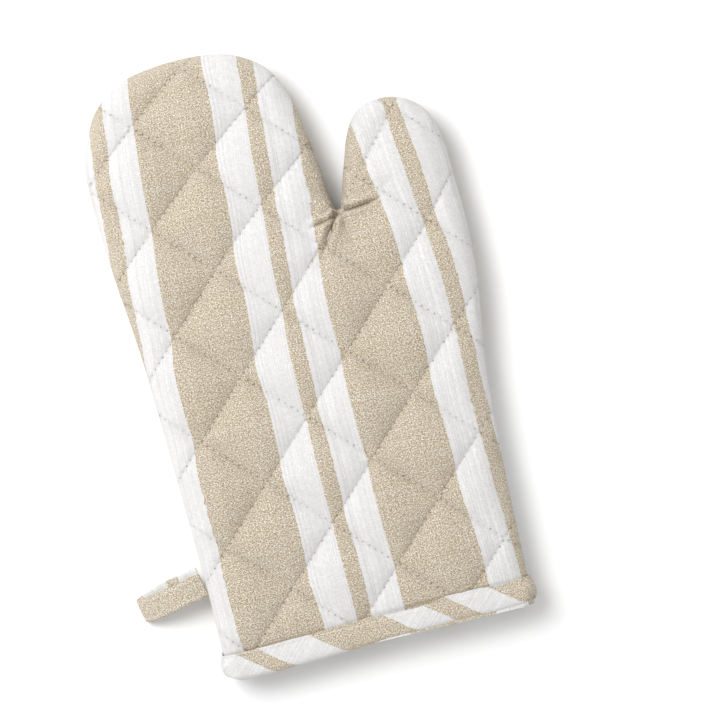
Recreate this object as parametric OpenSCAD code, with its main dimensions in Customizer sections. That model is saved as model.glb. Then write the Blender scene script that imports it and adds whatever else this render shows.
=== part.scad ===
// Quilted oven mitt with one thumb, a bound cuff and a hang loop, lying flat, palm side up.
// Millimetres. Z is up, +Y points to the fingertips, +X to the thumb. The back rests on Z = 0.
// Each panel is a nest of shell, batting and lining. Two cut lines part the panels into the
// palm, the fingers and the thumb, so that each part can turn on its hinge.

/* [Size] */
// height of the whole mitt from underside to palm side
mitt_h = 30; // [26:0.5:40]
// how far in from the outline the rounded edge reaches
edge_round = 11; // [9:0.5:11.5]
// height of the cuff binding along the mitt
binding_w = 14.5; // [10:0.5:20]

/* [Layers] */
// thickness of the outer cloth
shell_t = 0.8; // [0.5:0.1:1.2]
// thickness of the heat padding
batting_t = 3.9; // [2.5:0.1:5]
// thickness of the lining cloth
lining_t = 0.6; // [0.4:0.1:1]
// thickness of one leg of the folded binding
tape_t = 0.9; // [0.6:0.1:1.2]

/* [Quilting] */
// distance between neighbouring crossings along X and along Y
quilt_step = 29.2; // [20:0.1:40]
// width of a line of quilting thread
thread_w = 0.8; // [0.5:0.1:1.2]

/* [Hang loop] */
// width of the loop tape
loop_w = 12; // [8:0.5:20]
// thickness of the loop tape
loop_t = 1.1; // [0.8:0.1:1.4]
// how far the loop reaches out of the side seam
loop_reach = 37; // [30:0.5:60]
// angle of the loop towards the cuff
loop_tilt = 12; // [0:1:20]

/* [Hidden] */
gap = 0.03;
seam_z = mitt_h / 2;
wall = shell_t + batting_t + lining_t + 2 * gap;
rings = 5;

// depths from the outline at which each layer starts and ends
shell_in = shell_t;
batting_out = shell_in + gap;
batting_in = batting_out + batting_t;
lining_out = batting_in + gap;

// cuff
cuff_y = -165;
cuff_left = -84.5;
cuff_right = 85.1;
stitch_h = 0.35;
tape_out = stitch_h + 0.05;
tape_slot = tape_out + tape_t + gap;
tape_grip = wall - tape_t - gap;
panel_end = cuff_y + tape_t + gap;
binding_top = cuff_y + binding_w;
squeeze_run = 4;

// crotch between the fingers and the thumb
crotch = [31.5, 69.5];
crotch_r = 2.1;

// cut lines: fingers at a level above the crotch, thumb from the crotch to the side
finger_cut = 88;
thumb_side = [91, -21];
thumb_dir = [thumb_side.x - crotch.x, thumb_side.y - crotch.y];
thumb_angle = atan2(thumb_dir.y, thumb_dir.x);
thumb_unit = [cos(thumb_angle), sin(thumb_angle)];
side_tangent = [0.1, 1];

// outline, as stretches of edge in anticlockwise order
left_at_cut = [-96.2, finger_cut];
right_at_cut = [27.9, finger_cut];
squeeze_start = binding_top + 0.3;
squeeze_end = squeeze_start + squeeze_run;

palm_right = concat(
    [[cuff_right, panel_end], [cuff_right, squeeze_start], [cuff_right, squeeze_end]],
    tail(smooth([[cuff_right, squeeze_end], [85.6, -116], [86.3, -89], [88, -50], thumb_side]))
);
palm_crotch = concat(
    [for (a = [thumb_angle, -88, -118, -149, -180]) on_crotch(a)],
    [right_at_cut]
);
palm_left = concat(
    smooth([left_at_cut, [-94.3, 58], [-90.4, 18], [-87.7, -36], [-84.9, -110], [cuff_left, squeeze_end]]),
    [[cuff_left, squeeze_start], [cuff_left, panel_end]]
);
fingers_edge = smooth([
    right_at_cut, [25.1, 109], [21, 131], [12.5, 149.5], [-2.7, 160.8], [-18.7, 165],
    [-48, 165], [-69.6, 159.8], [-84, 148], [-91.5, 134], [-96.3, 118], left_at_cut
]);
thumb_edge = concat(
    smooth([
        thumb_side, [96.3, 18], [97.4, 45], [96.6, 72], [95.2, 93], [90.4, 108],
        [80, 117.6], [66, 120.6], [53, 116.4], [45.6, 106], [40.6, 92], [36.3, 79]
    ]),
    [for (a = [0, -28, thumb_angle]) on_crotch(a)]
);

// how far each end point moves for one unit of depth, so that it stays on its cut line
side_shift = -thumb_unit / abs(cross(thumb_unit, side_tangent / norm(side_tangent)));
inward_left = [-1, 0];
inward_right = [1, 0];

// a chain is a stretch of edge with the shifts of its first and last point
palm = [
    [palm_right, inward_left, side_shift],
    [palm_crotch, thumb_unit, inward_left],
    [palm_left, inward_right, inward_right]
];
fingers = [[fingers_edge, inward_left, inward_right]];
thumb = [[thumb_edge, side_shift, thumb_unit]];
cuff_rows = 2;

// hang loop, drawn from above the seam end to the far end and back
loop_root_r = 1.45;
loop_clear = 0.4;
seam_x_at_loop = -85.1;
loop_root_x = seam_x_at_loop - loop_clear - loop_root_r - loop_w / 2 * sin(loop_tilt);
loop_root_y = -110.2;
loop_root = [loop_root_x, loop_root_y, seam_z];
strand_up = 0.7;
loop_end_r = 4.2;

cloth = [0.80, 0.72, 0.58];
padding = [0.93, 0.92, 0.88];
lining = [0.90, 0.87, 0.80];
thread = [0.88, 0.82, 0.70];

// ---- curves ----

function tail(pts) = [for (i = [1 : len(pts) - 1]) pts[i]];

function on_crotch(a) = crotch + crotch_r * [cos(a), sin(a)];

// one point of the smooth curve through b and c, with a and d as its neighbours
function between(a, b, c, d, t) =
    0.5 * (2 * b + (c - a) * t + (2 * a - 5 * b + 4 * c - d) * t * t + (3 * b - a - 3 * c + d) * t * t * t);

// smooth curve through the given points, with one more point halfway along each side
function smooth(pts) =
    let (n = len(pts) - 1)
    [for (i = [0 : n]) each i == n ? [pts[n]] : [
        pts[i],
        between(pts[max(i - 1, 0)], pts[i], pts[i + 1], pts[min(i + 2, n)], 0.5)
    ]];

// inward shift of point i of a chain for one unit of depth
function shift(chain, i) =
    let (p = chain[0], n = len(p) - 1)
    i == 0 ? chain[1] : i == n ? chain[2] :
    let (t = (p[i + 1] - p[i - 1]) / norm(p[i + 1] - p[i - 1]))
    [-t.y, t.x];

// ---- layers ----

// share by which the binding squeezes the panel at this place along the mitt
function squeeze(y) = min(max((squeeze_end - y) / squeeze_run, 0), 1);

function squeezed(depth) = tape_slot + (tape_grip - tape_slot) * depth / wall;

// depth of a layer face from the outline, after the squeeze
function depth_at(depth, y) = depth + (squeezed(depth) - depth) * squeeze(y);

// ring k of the rounded edge: how far in, and how high above the seam
function ring_in(depth, k) = depth + (edge_round - depth) * (1 - cos(90 * k / rings));
function ring_up(depth, k) = gap + (seam_z - depth - gap) * sin(90 * k / rings);

function layer_point(chain, i, k, depth, side) =
    let (p = chain[0][i], s = depth_at(depth, p.y), q = p + shift(chain, i) * ring_in(s, k))
    [q.x, q.y, seam_z + side * ring_up(s, k)];

function counts(chains) = [for (c = chains) len(c[0])];
function offset_of(chains, c) = c == 0 ? 0 : offset_of(chains, c - 1) + 2 * (rings + 1) * len(chains[c - 1][0]);
function at(chains, c, i, k, face) = offset_of(chains, c) + 2 * (i * (rings + 1) + k) + face;

// flat middle of one face, with separate rows where the binding narrows the cuff
function middle(chains, face, rows) =
    let (last = len(chains) - 1, n = counts(chains))
    concat(
        [[for (c = [0 : last]) for (i = [(c == 0 ? rows : 0) : n[c] - 1 - (c == last ? rows : 0)])
            at(chains, c, i, rings, face)]],
        rows == 0 ? [] : [for (j = [0 : rows - 1]) [
            at(chains, 0, j, rings, face), at(chains, 0, j + 1, rings, face),
            at(chains, last, n[last] - 2 - j, rings, face), at(chains, last, n[last] - 1 - j, rings, face)
        ]]
    );

function rim(chains, face) =
    [for (c = [0 : len(chains) - 1]) for (i = [0 : len(chains[c][0]) - 2]) for (k = [0 : rings - 1]) [
        at(chains, c, i, k, face), at(chains, c, i + 1, k, face),
        at(chains, c, i + 1, k + 1, face), at(chains, c, i, k + 1, face)
    ]];

function seam_band(chains) =
    [for (c = [0 : len(chains) - 1]) for (i = [0 : len(chains[c][0]) - 2]) [
        at(chains, c, i, 0, 1), at(chains, c, i + 1, 0, 1), at(chains, c, i + 1, 0, 0), at(chains, c, i, 0, 0)
    ]];

// walls where the cut lines part the layer
function cut_walls(chains) =
    [for (c = [0 : len(chains) - 1])
        let (a = c, b = (c + 1) % len(chains), m = len(chains[a][0]) - 1)
        each concat(
            [for (k = [0 : rings - 1]) [
                at(chains, a, m, k, 1), at(chains, a, m, k + 1, 1),
                at(chains, a, m, k + 1, 0), at(chains, a, m, k, 0)
            ]],
            [for (k = [0 : rings - 1]) [
                at(chains, b, 0, k + 1, 1), at(chains, b, 0, k, 1),
                at(chains, b, 0, k, 0), at(chains, b, 0, k + 1, 0)
            ]],
            [[
                at(chains, a, m, rings, 1), at(chains, b, 0, rings, 1),
                at(chains, b, 0, rings, 0), at(chains, a, m, rings, 0)
            ]]
        )];

function turned(faces) = [for (f = faces) [for (i = [len(f) - 1 : -1 : 0]) f[i]]];

// one layer of one panel between two depths; side is 1 for the front and -1 for the back
module layer(chains, side, outer, inner, rows = 0) {
    points = [for (c = chains) for (i = [0 : len(c[0]) - 1]) for (k = [0 : rings])
        for (depth = [outer, inner]) layer_point(c, i, k, depth, side)];
    sheets = concat(
        middle(chains, 0, rows), rim(chains, 0), seam_band(chains), cut_walls(chains),
        turned(middle(chains, 1, rows)), turned(rim(chains, 1))
    );
    polyhedron(points, side > 0 ? turned(sheets) : sheets, convexity = 6);
}

// ---- quilting ----

quilt_x = -10.2;
quilt_y = 21.1;
quilt_reach = 8;
quilt_h = 0.4;
quilt_margin = 1;

// area of a region inside its rounded edge
module flat_area(chains, inset) {
    polygon([for (c = chains) for (i = [0 : len(c[0]) - 1]) c[0][i] + shift(c, i) * inset]);
}

module quilt_lines() {
    for (n = [-quilt_reach : quilt_reach], slope = [45, -45])
        translate([quilt_x, quilt_y + 2 * quilt_step * n])
            rotate(slope)
                square([20 * quilt_step, thread_w], center = true);
}

module cuff_clip() {
    translate([-200, squeeze_end + quilt_margin])
        square([400, 400]);
}

module quilting(chains, level) {
    translate([0, 0, level])
        linear_extrude(quilt_h)
            intersection() {
                quilt_lines();
                flat_area(chains, edge_round);
                cuff_clip();
            }
}

module front_quilting(chains) {
    quilting(chains, mitt_h + gap);
}

module back_quilting(chains) {
    quilting(chains, wall + gap);
}

// ---- perimeter seam: the panels' turned-in edges ----

seam_start = wall + 0.5;
seam_end = edge_round - 0.2;
seam_half_h = 1.3;

module perimeter_seam(chains) {
    translate([0, 0, seam_z - seam_half_h])
        linear_extrude(2 * seam_half_h)
            for (c = chains)
                seam_strip(c);
}

module seam_strip(chain) {
    n = len(chain[0]) - 1;
    clear = [for (i = [0 : n]) if (chain[0][i].y > squeeze_end - 1) i];
    polygon(concat(
        [for (i = clear) chain[0][i] + shift(chain, i) * seam_start],
        [for (j = [len(clear) - 1 : -1 : 0]) chain[0][clear[j]] + shift(chain, clear[j]) * seam_end]
    ));
}

// ---- cuff binding ----

// half of the mouth's outline round one side seam; turn is 1 for the right and -1 for the left
function mouth_half(x, turn, depth) =
    [for (k = [0 : 2 * rings])
        let (a = -90 + 90 * k / rings)
        [x + turn * (edge_round - depth) * cos(a), seam_z + turn * (seam_z - depth) * sin(a)]];

// outline of the mouth at one depth, seen along the mitt
module mouth(depth) {
    polygon(concat(
        mouth_half(cuff_right - edge_round, 1, depth),
        mouth_half(cuff_left + edge_round, -1, depth)
    ));
}

module mouth_ring(outer, inner, from, to) {
    translate([0, to, 0])
        rotate([90, 0, 0])
            linear_extrude(to - from)
                difference() {
                    mouth(outer);
                    mouth(inner);
                }
}

// ---- hang loop ----

// centre line of the loop in its own frame: along the reach, and height above the seam
loop_far = loop_reach - loop_end_r - loop_t / 2;
loop_low = loop_end_r + loop_t - seam_z;
loop_top = concat(
    [[0.5, strand_up], [8, 2.2], [18, 0.9], [27, -2.6]],
    [for (a = [90 : -22.5 : -90]) [loop_far + loop_end_r * cos(a), loop_low + loop_end_r * sin(a)]]
);
loop_line = concat(loop_top, [[24, -12], [15, -7.6], [7, -3.4], [0.5, -strand_up]]);

function loop_normal(i) =
    let (n = len(loop_line) - 1, t = loop_line[min(i + 1, n)] - loop_line[max(i - 1, 0)])
    [-t.y, t.x] / norm(t);

module loop_band(from, to, first, last) {
    polygon(concat(
        [for (i = [first : last]) loop_line[i] + loop_normal(i) * to],
        [for (i = [last : -1 : first]) loop_line[i] + loop_normal(i) * from]
    ));
}

// turns a drawing of the loop's section into a strip of the given width
module loop_strip(width, middle_y) {
    translate(loop_root)
        rotate([0, 0, 180 + loop_tilt])
            translate([0, -middle_y + width / 2, 0])
                rotate([90, 0, 0])
                    linear_extrude(width)
                        children();
}

loop_stitch_in = 2;
loop_stitch_w = 0.5;
loop_stitch_h = 0.3;

// ---- sub-parts ----

module palm_front_shell() { color(cloth) layer(palm, 1, 0, shell_in, cuff_rows); }
module palm_front_batting() { color(padding) layer(palm, 1, batting_out, batting_in, cuff_rows); }
module palm_front_lining() { color(lining) layer(palm, 1, lining_out, wall, cuff_rows); }
module palm_front_quilting() { color(thread) front_quilting(palm); }
module palm_back_shell() { color(cloth) layer(palm, -1, 0, shell_in, cuff_rows); }
module palm_back_batting() { color(padding) layer(palm, -1, batting_out, batting_in, cuff_rows); }
module palm_back_lining() { color(lining) layer(palm, -1, lining_out, wall, cuff_rows); }
module palm_back_quilting() { color(thread) back_quilting(palm); }
module palm_perimeter_seam() { color(thread) perimeter_seam(palm); }

module cuff_binding() {
    color(cloth)
        union() {
            mouth_ring(tape_out, tape_out + tape_t, cuff_y, binding_top);
            mouth_ring(wall - tape_t, wall, cuff_y, binding_top);
            mouth_ring(tape_out, wall, cuff_y, cuff_y + tape_t);
        }
}

module binding_topstitch() {
    stitch_y = binding_top - 2;
    color(thread)
        mouth_ring(0.02, stitch_h, stitch_y - thread_w, stitch_y);
}

module fingers_front_shell() { color(cloth) layer(fingers, 1, 0, shell_in); }
module fingers_front_batting() { color(padding) layer(fingers, 1, batting_out, batting_in); }
module fingers_front_lining() { color(lining) layer(fingers, 1, lining_out, wall); }
module fingers_front_quilting() { color(thread) front_quilting(fingers); }
module fingers_back_shell() { color(cloth) layer(fingers, -1, 0, shell_in); }
module fingers_back_batting() { color(padding) layer(fingers, -1, batting_out, batting_in); }
module fingers_back_lining() { color(lining) layer(fingers, -1, lining_out, wall); }
module fingers_back_quilting() { color(thread) back_quilting(fingers); }
module fingers_perimeter_seam() { color(thread) perimeter_seam(fingers); }

module thumb_front_shell() { color(cloth) layer(thumb, 1, 0, shell_in); }
module thumb_front_batting() { color(padding) layer(thumb, 1, batting_out, batting_in); }
module thumb_front_lining() { color(lining) layer(thumb, 1, lining_out, wall); }
module thumb_front_quilting() { color(thread) front_quilting(thumb); }
module thumb_back_shell() { color(cloth) layer(thumb, -1, 0, shell_in); }
module thumb_back_batting() { color(padding) layer(thumb, -1, batting_out, batting_in); }
module thumb_back_lining() { color(lining) layer(thumb, -1, lining_out, wall); }
module thumb_back_quilting() { color(thread) back_quilting(thumb); }
module thumb_perimeter_seam() { color(thread) perimeter_seam(thumb); }

module hang_loop_tape() {
    color(cloth)
        union() {
            loop_strip(loop_w, 0) loop_band(-loop_t / 2, loop_t / 2, 0, len(loop_line) - 1);
            loop_strip(loop_w, 0) circle(r = loop_root_r, $fn = 24);
        }
}

module hang_loop_stitching() {
    edge = loop_w / 2 - loop_stitch_in;
    color(thread)
        for (y = [-edge, edge])
            loop_strip(loop_stitch_w, y)
                loop_band(loop_t / 2 + 0.02, loop_t / 2 + 0.02 + loop_stitch_h, 1, len(loop_top) - 5);
}

palm_front_shell();
palm_front_batting();
palm_front_lining();
palm_front_quilting();
palm_back_shell();
palm_back_batting();
palm_back_lining();
palm_back_quilting();
palm_perimeter_seam();
cuff_binding();
binding_topstitch();
fingers_front_shell();
fingers_front_batting();
fingers_front_lining();
fingers_front_quilting();
fingers_back_shell();
fingers_back_batting();
fingers_back_lining();
fingers_back_quilting();
fingers_perimeter_seam();
thumb_front_shell();
thumb_front_batting();
thumb_front_lining();
thumb_front_quilting();
thumb_back_shell();
thumb_back_batting();
thumb_back_lining();
thumb_back_quilting();
thumb_perimeter_seam();
hang_loop_tape();
hang_loop_stitching();
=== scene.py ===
"""Looks for the quilted oven mitt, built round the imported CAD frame. Metres; helpers work in mm."""

import math

import bmesh
import bpy
import numpy as np
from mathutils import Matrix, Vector, geometry
from mathutils.bvhtree import BVHTree


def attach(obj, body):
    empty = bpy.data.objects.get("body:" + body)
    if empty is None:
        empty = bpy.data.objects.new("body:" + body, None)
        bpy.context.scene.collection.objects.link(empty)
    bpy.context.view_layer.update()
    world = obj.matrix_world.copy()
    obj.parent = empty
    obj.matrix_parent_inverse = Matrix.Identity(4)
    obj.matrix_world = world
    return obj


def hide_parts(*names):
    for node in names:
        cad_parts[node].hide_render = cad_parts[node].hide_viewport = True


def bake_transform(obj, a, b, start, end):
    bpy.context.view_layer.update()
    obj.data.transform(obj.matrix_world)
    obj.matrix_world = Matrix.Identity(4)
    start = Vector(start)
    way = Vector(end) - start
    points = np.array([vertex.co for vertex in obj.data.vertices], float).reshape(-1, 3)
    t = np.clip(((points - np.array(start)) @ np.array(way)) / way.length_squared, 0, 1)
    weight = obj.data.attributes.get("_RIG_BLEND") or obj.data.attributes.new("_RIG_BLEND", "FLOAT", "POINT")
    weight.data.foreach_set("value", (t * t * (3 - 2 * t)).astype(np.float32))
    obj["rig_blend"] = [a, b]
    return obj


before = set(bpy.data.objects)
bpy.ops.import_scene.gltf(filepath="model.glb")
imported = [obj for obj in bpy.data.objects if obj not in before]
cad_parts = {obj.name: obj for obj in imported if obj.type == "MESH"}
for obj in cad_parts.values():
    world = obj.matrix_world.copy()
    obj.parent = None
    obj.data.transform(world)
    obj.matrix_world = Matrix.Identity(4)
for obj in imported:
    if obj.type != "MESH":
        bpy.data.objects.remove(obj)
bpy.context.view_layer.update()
MM = 0.001
rng = np.random.default_rng(7)

# ---- sizes, in mm
SEAM_Z = 15.0            # height of the perimeter seam
TOP_Z = 29.0             # height of the panel's flat part before the quilting puffs it
ROLL = 11.5              # how far in from the outline the rounded edge reaches
ROLL_MID = 2.6           # height of the widest line above the seam
CUFF_Y = -165.0           # the mouth's edge
CUFF_LEFT, CUFF_RIGHT = -84.5, 85.1
BINDING_TOP = -150.3     # upper edge of the cuff binding
CROTCH = np.array([31.5, 69.5])          # the thumb line runs from here
THUMB_SIDE = np.array([91.0, -21.0])     # to here
QUILT = 29.2             # spacing of the crossings along X and along Y
QUILT_AT = np.array([-10.2, 21.1])       # one of the crossings
PITCH = 3.9              # stitch length of the quilting
TOP_PITCH = 3.1          # stitch length of the binding's topstitching
LOOP_PITCH = 2.9         # stitch length of the hang loop
FINE_THREAD = 0.16       # radius of the quilting thread
HEAVY_THREAD = 0.2       # radius of the thread in the binding and the loop
COARSE = 4.0             # spacing of the simulated mesh
PANEL_TOP = 166          # beyond the fingertips
PANEL_REACH = 100        # beyond the sides
SIM_UNIT = 0.1           # scale of the simulation: one unit is 10 mm
SIM_FRAMES = 22
PUFF_CAP = 6.0           # furthest that the simulation may move a point
LINING_DEPTH = 4.9       # how far the lining lies inside the outline

split_dir = (THUMB_SIDE - CROTCH) / np.linalg.norm(THUMB_SIDE - CROTCH)
split_normal = np.array([-split_dir[1], split_dir[0]])

# ---- outline
RIGHT = [(85.1, -165), (85.1, -156), (85.1, -147), (85.6, -116), (86.3, -89), (88, -50), (91, -21),
         (96.3, 18), (97.4, 45), (96.6, 72), (95.2, 93), (90.4, 108), (80, 117.6), (66, 120.6),
         (53, 116.4), (45.6, 106), (40.6, 92), (36.3, 79)]
LEFT = [(27.9, 88), (25.1, 109), (21, 131), (12.5, 149.5), (-2.7, 160.8), (-18.7, 165), (-48, 165),
        (-69.6, 159.8), (-84, 148), (-91.5, 134), (-96.3, 118), (-96.2, 88), (-94.3, 58),
        (-90.4, 18), (-87.7, -36), (-84.9, -110), (-84.5, -147), (-84.5, -156), (-84.5, -165)]
NOTCH = [tuple(CROTCH + 2.1 * np.array([math.cos(math.radians(a)), math.sin(math.radians(a))]))
         for a in (0, -35, -70, -105, -140, -180)]


def run_along(p):
    """Length along a polyline up to each of its points."""
    return np.concatenate([[0], np.cumsum(np.linalg.norm(np.diff(p, axis=0), axis=1))])


def unit(v):
    """Each row brought to length 1."""
    return v / np.maximum(np.linalg.norm(v, axis=1), 1e-9)[:, None]


def curve(points, step):
    """Points every step along a smooth centripetal curve through the given points."""
    p = np.array(points, float)
    p = np.vstack([2 * p[0] - p[1], p, 2 * p[-1] - p[-2]])
    out = []
    for i in range(1, len(p) - 2):
        p0, p1, p2, p3 = p[i - 1:i + 3]
        knots = np.cumsum([0] + [max(np.linalg.norm(b - a), 1e-6) ** 0.5
                                 for a, b in ((p0, p1), (p1, p2), (p2, p3))])
        t = np.linspace(knots[1], knots[2], 25)[:-1, None]

        def between(start, end, i, j):
            """The point that is i to j of the way along the knots between two points."""
            span = knots[j] - knots[i]
            return (knots[j] - t) / span * start + (t - knots[i]) / span * end
        first, middle, last = between(p0, p1, 0, 1), between(p1, p2, 1, 2), between(p2, p3, 2, 3)
        out.append(between(between(first, middle, 0, 2), between(middle, last, 1, 3), 1, 2))
    out = np.vstack(out + [p[-2:-1]])
    run = run_along(out)
    n = max(int(round(run[-1] / step)), 2)
    at = np.linspace(0, run[-1], n + 1)
    return np.stack([np.interp(at, run, out[:, k]) for k in range(out.shape[1])], axis=1)


def outline(step, end_y):
    """The sewn edge from the right of the cuff round to the left of the cuff."""
    whole = np.vstack([curve(RIGHT, step), NOTCH, curve(LEFT, step)])
    whole = whole[whole[:, 1] > end_y + 0.5]
    return np.vstack([[(CUFF_RIGHT, end_y)], whole, [(CUFF_LEFT, end_y)]])


EDGE = outline(1.5, CUFF_Y + 1.0)


def edge_distance(p):
    """Distance of each point from the sewn edge."""
    a, b = EDGE[:-1], EDGE[1:]
    d = b - a
    length2 = (d ** 2).sum(1)
    best = np.full(len(p), 1e9)
    for i in range(len(a)):
        t = np.clip(((p - a[i]) @ d[i]) / length2[i], 0, 1)
        q = a[i] + t[:, None] * d[i]
        best = np.minimum(best, ((p - q) ** 2).sum(1))
    return np.sqrt(best)


def inside(p, loop):
    """Which points lie inside a closed outline."""
    x, y = p[:, 0], p[:, 1]
    result = np.zeros(len(p), bool)
    j = len(loop) - 1
    for i in range(len(loop)):
        xi, yi = loop[i]
        xj, yj = loop[j]
        cross = (yi > y) != (yj > y)
        if cross.any():
            at = (xj - xi) * (y - yi) / (yj - yi + 1e-12) + xi
            result ^= cross & (x < at)
        j = i
    return result


def on_thumb(p):
    """Which points lie beyond the line at the thumb's root."""
    n = (p - CROTCH) @ split_normal
    return (n > 0) & ((p[:, 1] < CROTCH[1]) | (p[:, 0] > CROTCH[0]))


# ---- quilting pattern
ROOT2 = math.sqrt(2)
ALONG = {1: np.array([1, 1]) / ROOT2, -1: np.array([1, -1]) / ROOT2}
ACROSS = {1: np.array([-1, 1]) / ROOT2, -1: np.array([1, 1]) / ROOT2}
SPACING = 2 * QUILT / ROOT2


def quilt_drift(p):
    """How far the rising stitch lines sink towards the tips, where the cloth was laid askew."""
    x, y = p[:, 0], p[:, 1]
    fingers = -0.169 * np.maximum(y - 60, 0) * (x + 110) / 100
    thumb = 0.15 * np.maximum(y - 48, 0)
    share = smoothstep(28, 37, x)
    return fingers * (1 - share) + thumb * share


def to_quilt(p):
    """From a place on the panel to the regular quilting grid."""
    half = quilt_drift(p) / 2
    return p + np.stack([half, -half], axis=1)


def from_quilt(q):
    """The reverse of to_quilt, found by repeated correction."""
    p = q.copy()
    for _ in range(25):
        half = quilt_drift(p) / 2
        p = q - np.stack([half, -half], axis=1)
    return p


def line_offset(p, family):
    """Signed distance from the nearest stitch line of one family."""
    t = (to_quilt(p) - QUILT_AT) @ ACROSS[family]
    return (t + SPACING / 2) % SPACING - SPACING / 2


def smoothstep(a, b, x):
    t = np.clip((x - a) / (b - a), 0, 1)
    return t * t * (3 - 2 * t)


def value_noise(p, scale, seed):
    """Smooth noise from -1 to 1 on a plane."""
    q = np.asarray(p) / scale
    i = np.floor(q).astype(int)
    f = q - i
    f = f * f * (3 - 2 * f)

    def corner(dx, dy):
        n = (i[:, 0] + dx) * 374761393 + (i[:, 1] + dy) * 668265263 + seed * 1274126177
        n = (n ^ (n >> 13)) * 1274126177
        n = n ^ (n >> 16)
        return (n & 0xFFFF) / 32767.5 - 1
    top = corner(0, 0) * (1 - f[:, 0]) + corner(1, 0) * f[:, 0]
    low = corner(0, 1) * (1 - f[:, 0]) + corner(1, 1) * f[:, 0]
    return top * (1 - f[:, 1]) + low * f[:, 1]


def from_line(p, line):
    """Distance of each point from a polyline, and the share of it at the nearest place."""
    line = np.array(line, float)
    best = np.full(len(p), 1e9)
    share = np.zeros(len(p))
    run = run_along(line)
    for i in range(len(line) - 1):
        d = line[i + 1] - line[i]
        t = np.clip(((p - line[i]) @ d) / (d @ d), 0, 1)
        dist = np.linalg.norm(p - (line[i] + t[:, None] * d), axis=1)
        near = dist < best
        best[near] = dist[near]
        share[near] = ((run[i] + t * (run[i + 1] - run[i])) / run[-1])[near]
    return best, share


# folds that run out of the crotch: points, depth and half width
FOLDS = [
    ([(31.6, 66.6), (28.5, 62.5), (24.3, 56), (19.5, 48.5), (14.5, 41.5)], 2.6, 1.35),
    ([(31.0, 66.4), (26.5, 63.4), (20.5, 61.9), (15.5, 61.0), (11, 60.8)], 2.0, 1.15),
    ([(33.0, 66.9), (39, 65.9), (47, 66.6), (59.5, 69.3)], 2.3, 1.15),
    ([(30.0, 68.4), (25, 67.4), (19, 68.0)], 0.9, 1.2),
    ([(32.3, 65.6), (32.8, 59), (33.5, 51)], 0.8, 1.6),
]


def fold_distance(p):
    """Distance of each point from the nearest fold."""
    return np.min([from_line(p, fold[0])[0] for fold in FOLDS], axis=0)



# ---- stripes
# how far the cloth's lengthwise yarns lie to the side of straight: a row for each place across in
# LEAN_X, and along it a value for each height in LEAN_Y
LEAN_Y = [-160, -145, -120, -90, -60, -30, 0, 20, 40, 60, 80, 95, 110, 125, 140, 155, 170]
LEAN_X = [-95, -73, -29, -10, 18, 30, 36, 50, 70, 85]
LEAN_BY = [
    [0, -0.3, -0.8, -0.9, -1.2, -0.4, -0.5, 1.0, 1.8, 3.6, 5.2, 6.2, 7.2, 8.6, 9.8, 11.2, 12.5],
    [-0.3, -0.5, -1.2, -1.1, -1.6, -0.5, -1.0, 1.0, 1.5, 3.1, 4.6, 5.1, 6.4, 7.5, 8.7, 10.6, 12],
    [1.5, 1.3, 0, -0.1, -0.8, -0.4, -1.2, 0.3, 1.4, 1.9, 3.2, 4.2, 4.6, 5.7, 6.8, 7.2, 8],
    [2.1, 2.0, 1.4, 1.0, 0.5, 0.4, 0.2, 1.6, 1.6, 2.9, 4.0, 4.8, 5.6, 7.1, 8.1, 9, 10],
    [2.4, 2.3, 2.1, 1.0, 0.6, 0.1, 0.2, -0.1, 0.9, 2.6, 4.2, 4.2, 5.1, 6.5, 7.5, 8.5, 9.5],
    [2.8, 2.7, 2.1, 0.9, 0.2, -0.2, -0.2, -0.4, 0.3, 2.0, 4.2, 4.2, 5.1, 6.5, 7.5, 8.5, 9.5],
    [3.2, 3.1, 2.1, 0.8, -0.2, -0.5, -0.7, -0.9, -1.2, -3.0, -7.0, -8.8, -11.4, -12.5, -13, -13, -13],
    [3.9, 3.7, 2.0, 0.6, -0.8, -0.8, -1.2, -1.5, -2.2, -4.1, -7.3, -8.8, -11.4, -12.5, -13, -13, -13],
    [4.0, 3.9, 2.3, 0.9, -0.4, -0.2, 0, -0.9, -2.5, -4.3, -6.2, -8.1, -9.0, -10.5, -12, -12, -12],
    [4.0, 4.0, 2.5, 1.1, -0.3, -0.1, 0, -0.5, -2.0, -4.5, -5.8, -8.1, -9.5, -11, -12, -12, -12],
]


def cloth_coordinates(p, back=False):
    """Where each point of a panel lay on the flat striped cloth."""
    x, y = p[:, 0], p[:, 1]
    lean = np.zeros(len(p))
    for dy in (-6, 0, 6):
        rows = np.array([np.interp(y + dy, LEAN_Y, row) for row in LEAN_BY])
        at = np.clip(np.interp(x, LEAN_X, np.arange(len(LEAN_X))), 0, len(LEAN_X) - 1.001)
        low = at.astype(int)
        column = np.arange(len(p))
        share = at - low
        lean += (rows[low, column] * (1 - share) + rows[low + 1, column] * share) / 3
    u = x - lean
    v = y.copy()
    for family in (1, -1):
        t = line_offset(p, family)
        pull = np.sign(t) * (1 - np.exp(-np.abs(t) / 2.2)) - t / (SPACING / 2)
        u += 0.42 * pull * ACROSS[family][0]
        v += 0.42 * pull * ACROSS[family][1]
    if back:
        u = u + 16.0
    return np.stack([u, v], axis=1)


# ---- panel mesh
def stitch_points(family):
    """Needle holes of every line of one family, in order along each line."""
    lines = []
    for k in range(-9, 10):
        origin = QUILT_AT + ACROSS[family] * SPACING * k
        s = np.arange(-90, 91) * PITCH
        p = origin + s[:, None] * ALONG[family]
        lines.append(from_quilt(p))
    return lines


def clip_runs(mask):
    """Start and end of every unbroken stretch of true values."""
    runs, start = [], None
    for i, m in enumerate(mask):
        if m and start is None:
            start = i
        if not m and start is not None:
            runs.append((start, i))
            start = None
    if start is not None:
        runs.append((start, len(mask)))
    return runs


def to_the_left(line):
    """Unit directions to the left of a polyline that runs forwards."""
    t = np.gradient(line, axis=0)
    return unit(np.stack([-t[:, 1], t[:, 0]], axis=1))


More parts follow.
